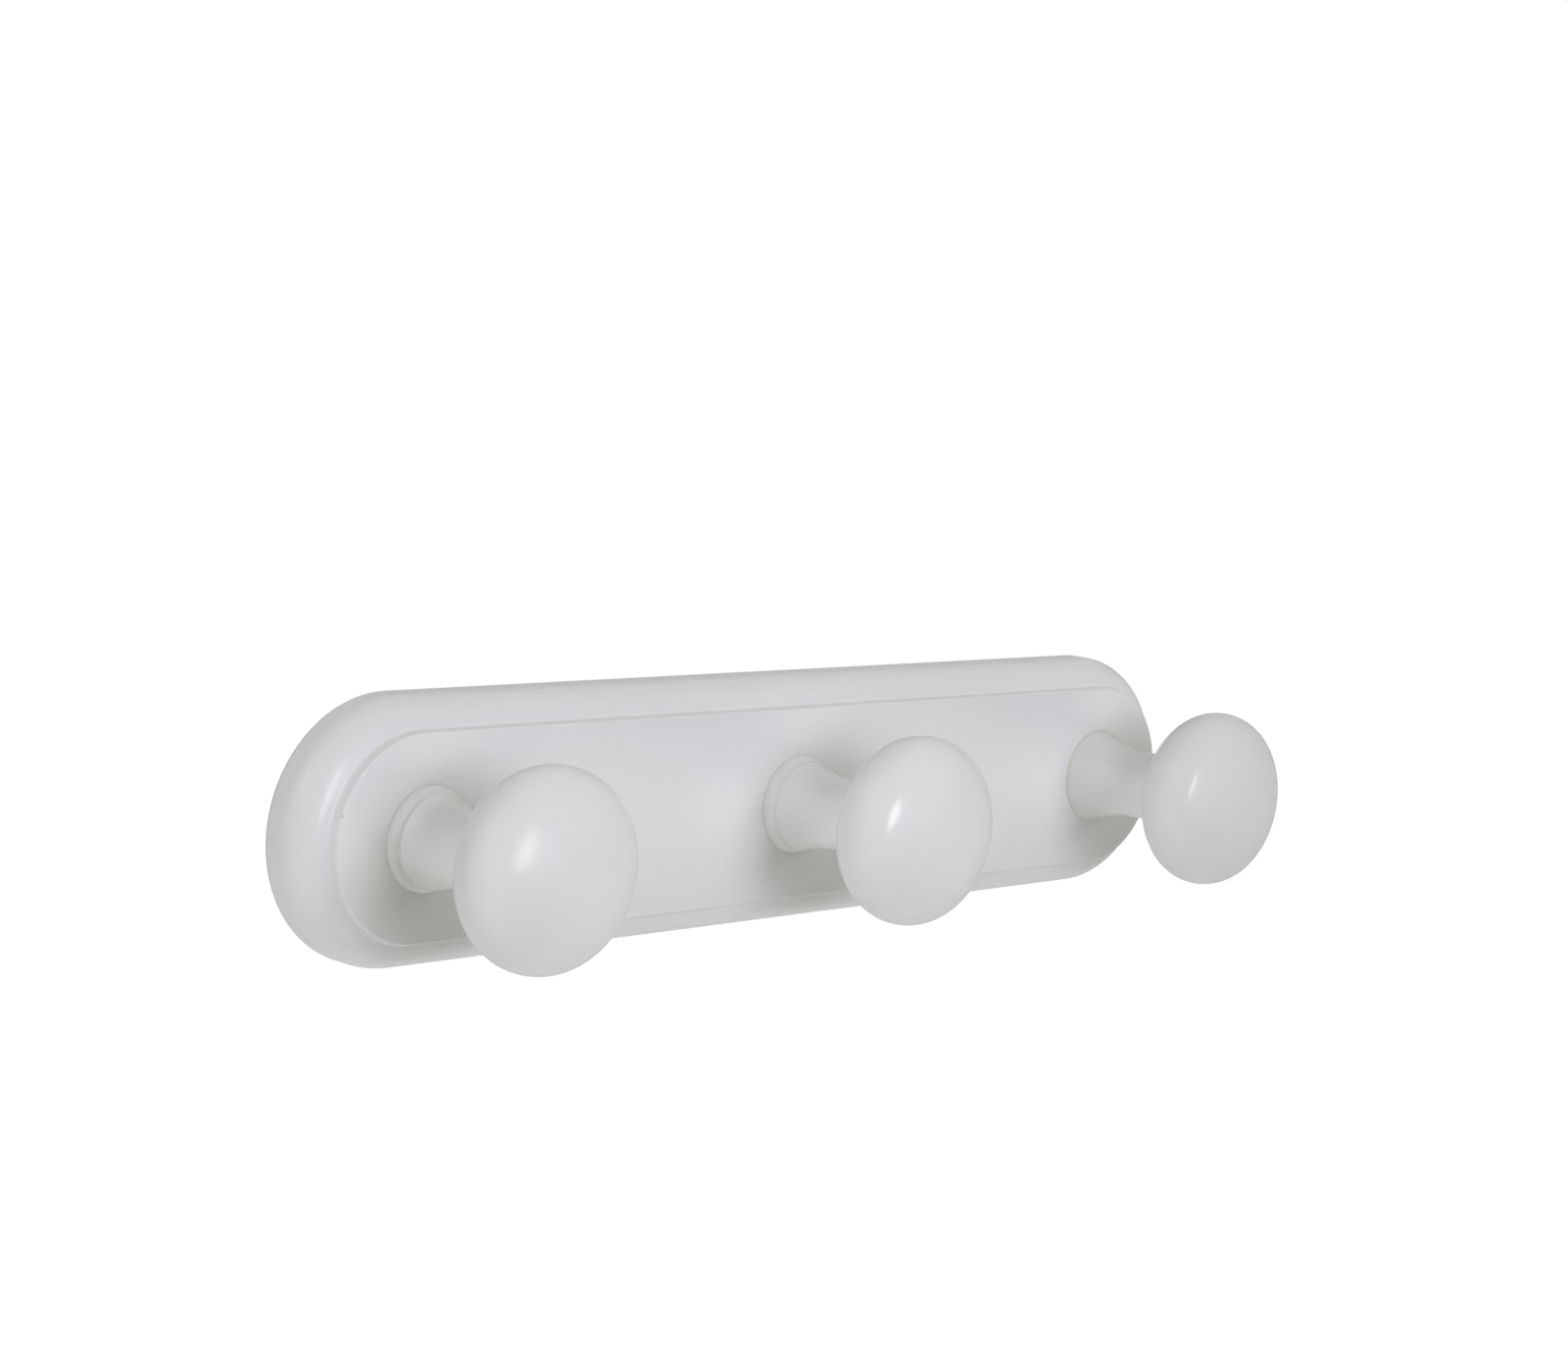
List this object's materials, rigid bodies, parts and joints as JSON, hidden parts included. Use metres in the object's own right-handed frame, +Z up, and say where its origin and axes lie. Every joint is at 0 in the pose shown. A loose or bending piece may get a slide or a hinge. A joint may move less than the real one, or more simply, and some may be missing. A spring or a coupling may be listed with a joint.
{
  "type": "wall-mounted coat rail",
  "caption": "Wall coat rail: a white painted board with round ends and a raised field carries turned mushroom knobs, hung from keyhole plates let into its back.",
  "frame": {"origin": "middle of the board's back face, on the wall plane", "axes": "+X along the rail, to the right seen from the front; +Y into the wall, so the knobs point to -Y; +Z up"},
  "size_m": [0.34, 0.0785, 0.07],
  "materials": {
    "painted_board": "white satin paint, sprayed",
    "painted_knob": "white semi-gloss paint over turned wood",
    "zinc_plate": "bright zinc plating on pressed steel",
    "zinc_screw": "bright zinc plating"
  },
  "bodies": {
    "root": {"backboard": "painted_board", "knob_left": "painted_knob", "knob_screw_left": "zinc_screw", "knob_middle": "painted_knob", "knob_screw_middle": "zinc_screw", "knob_right": "painted_knob", "knob_screw_right": "zinc_screw", "hanger_plate_left": "zinc_plate", "hanger_screws_left": "zinc_screw", "hanger_plate_right": "zinc_plate", "hanger_screws_right": "zinc_screw"}
  },
  "joints": []
}
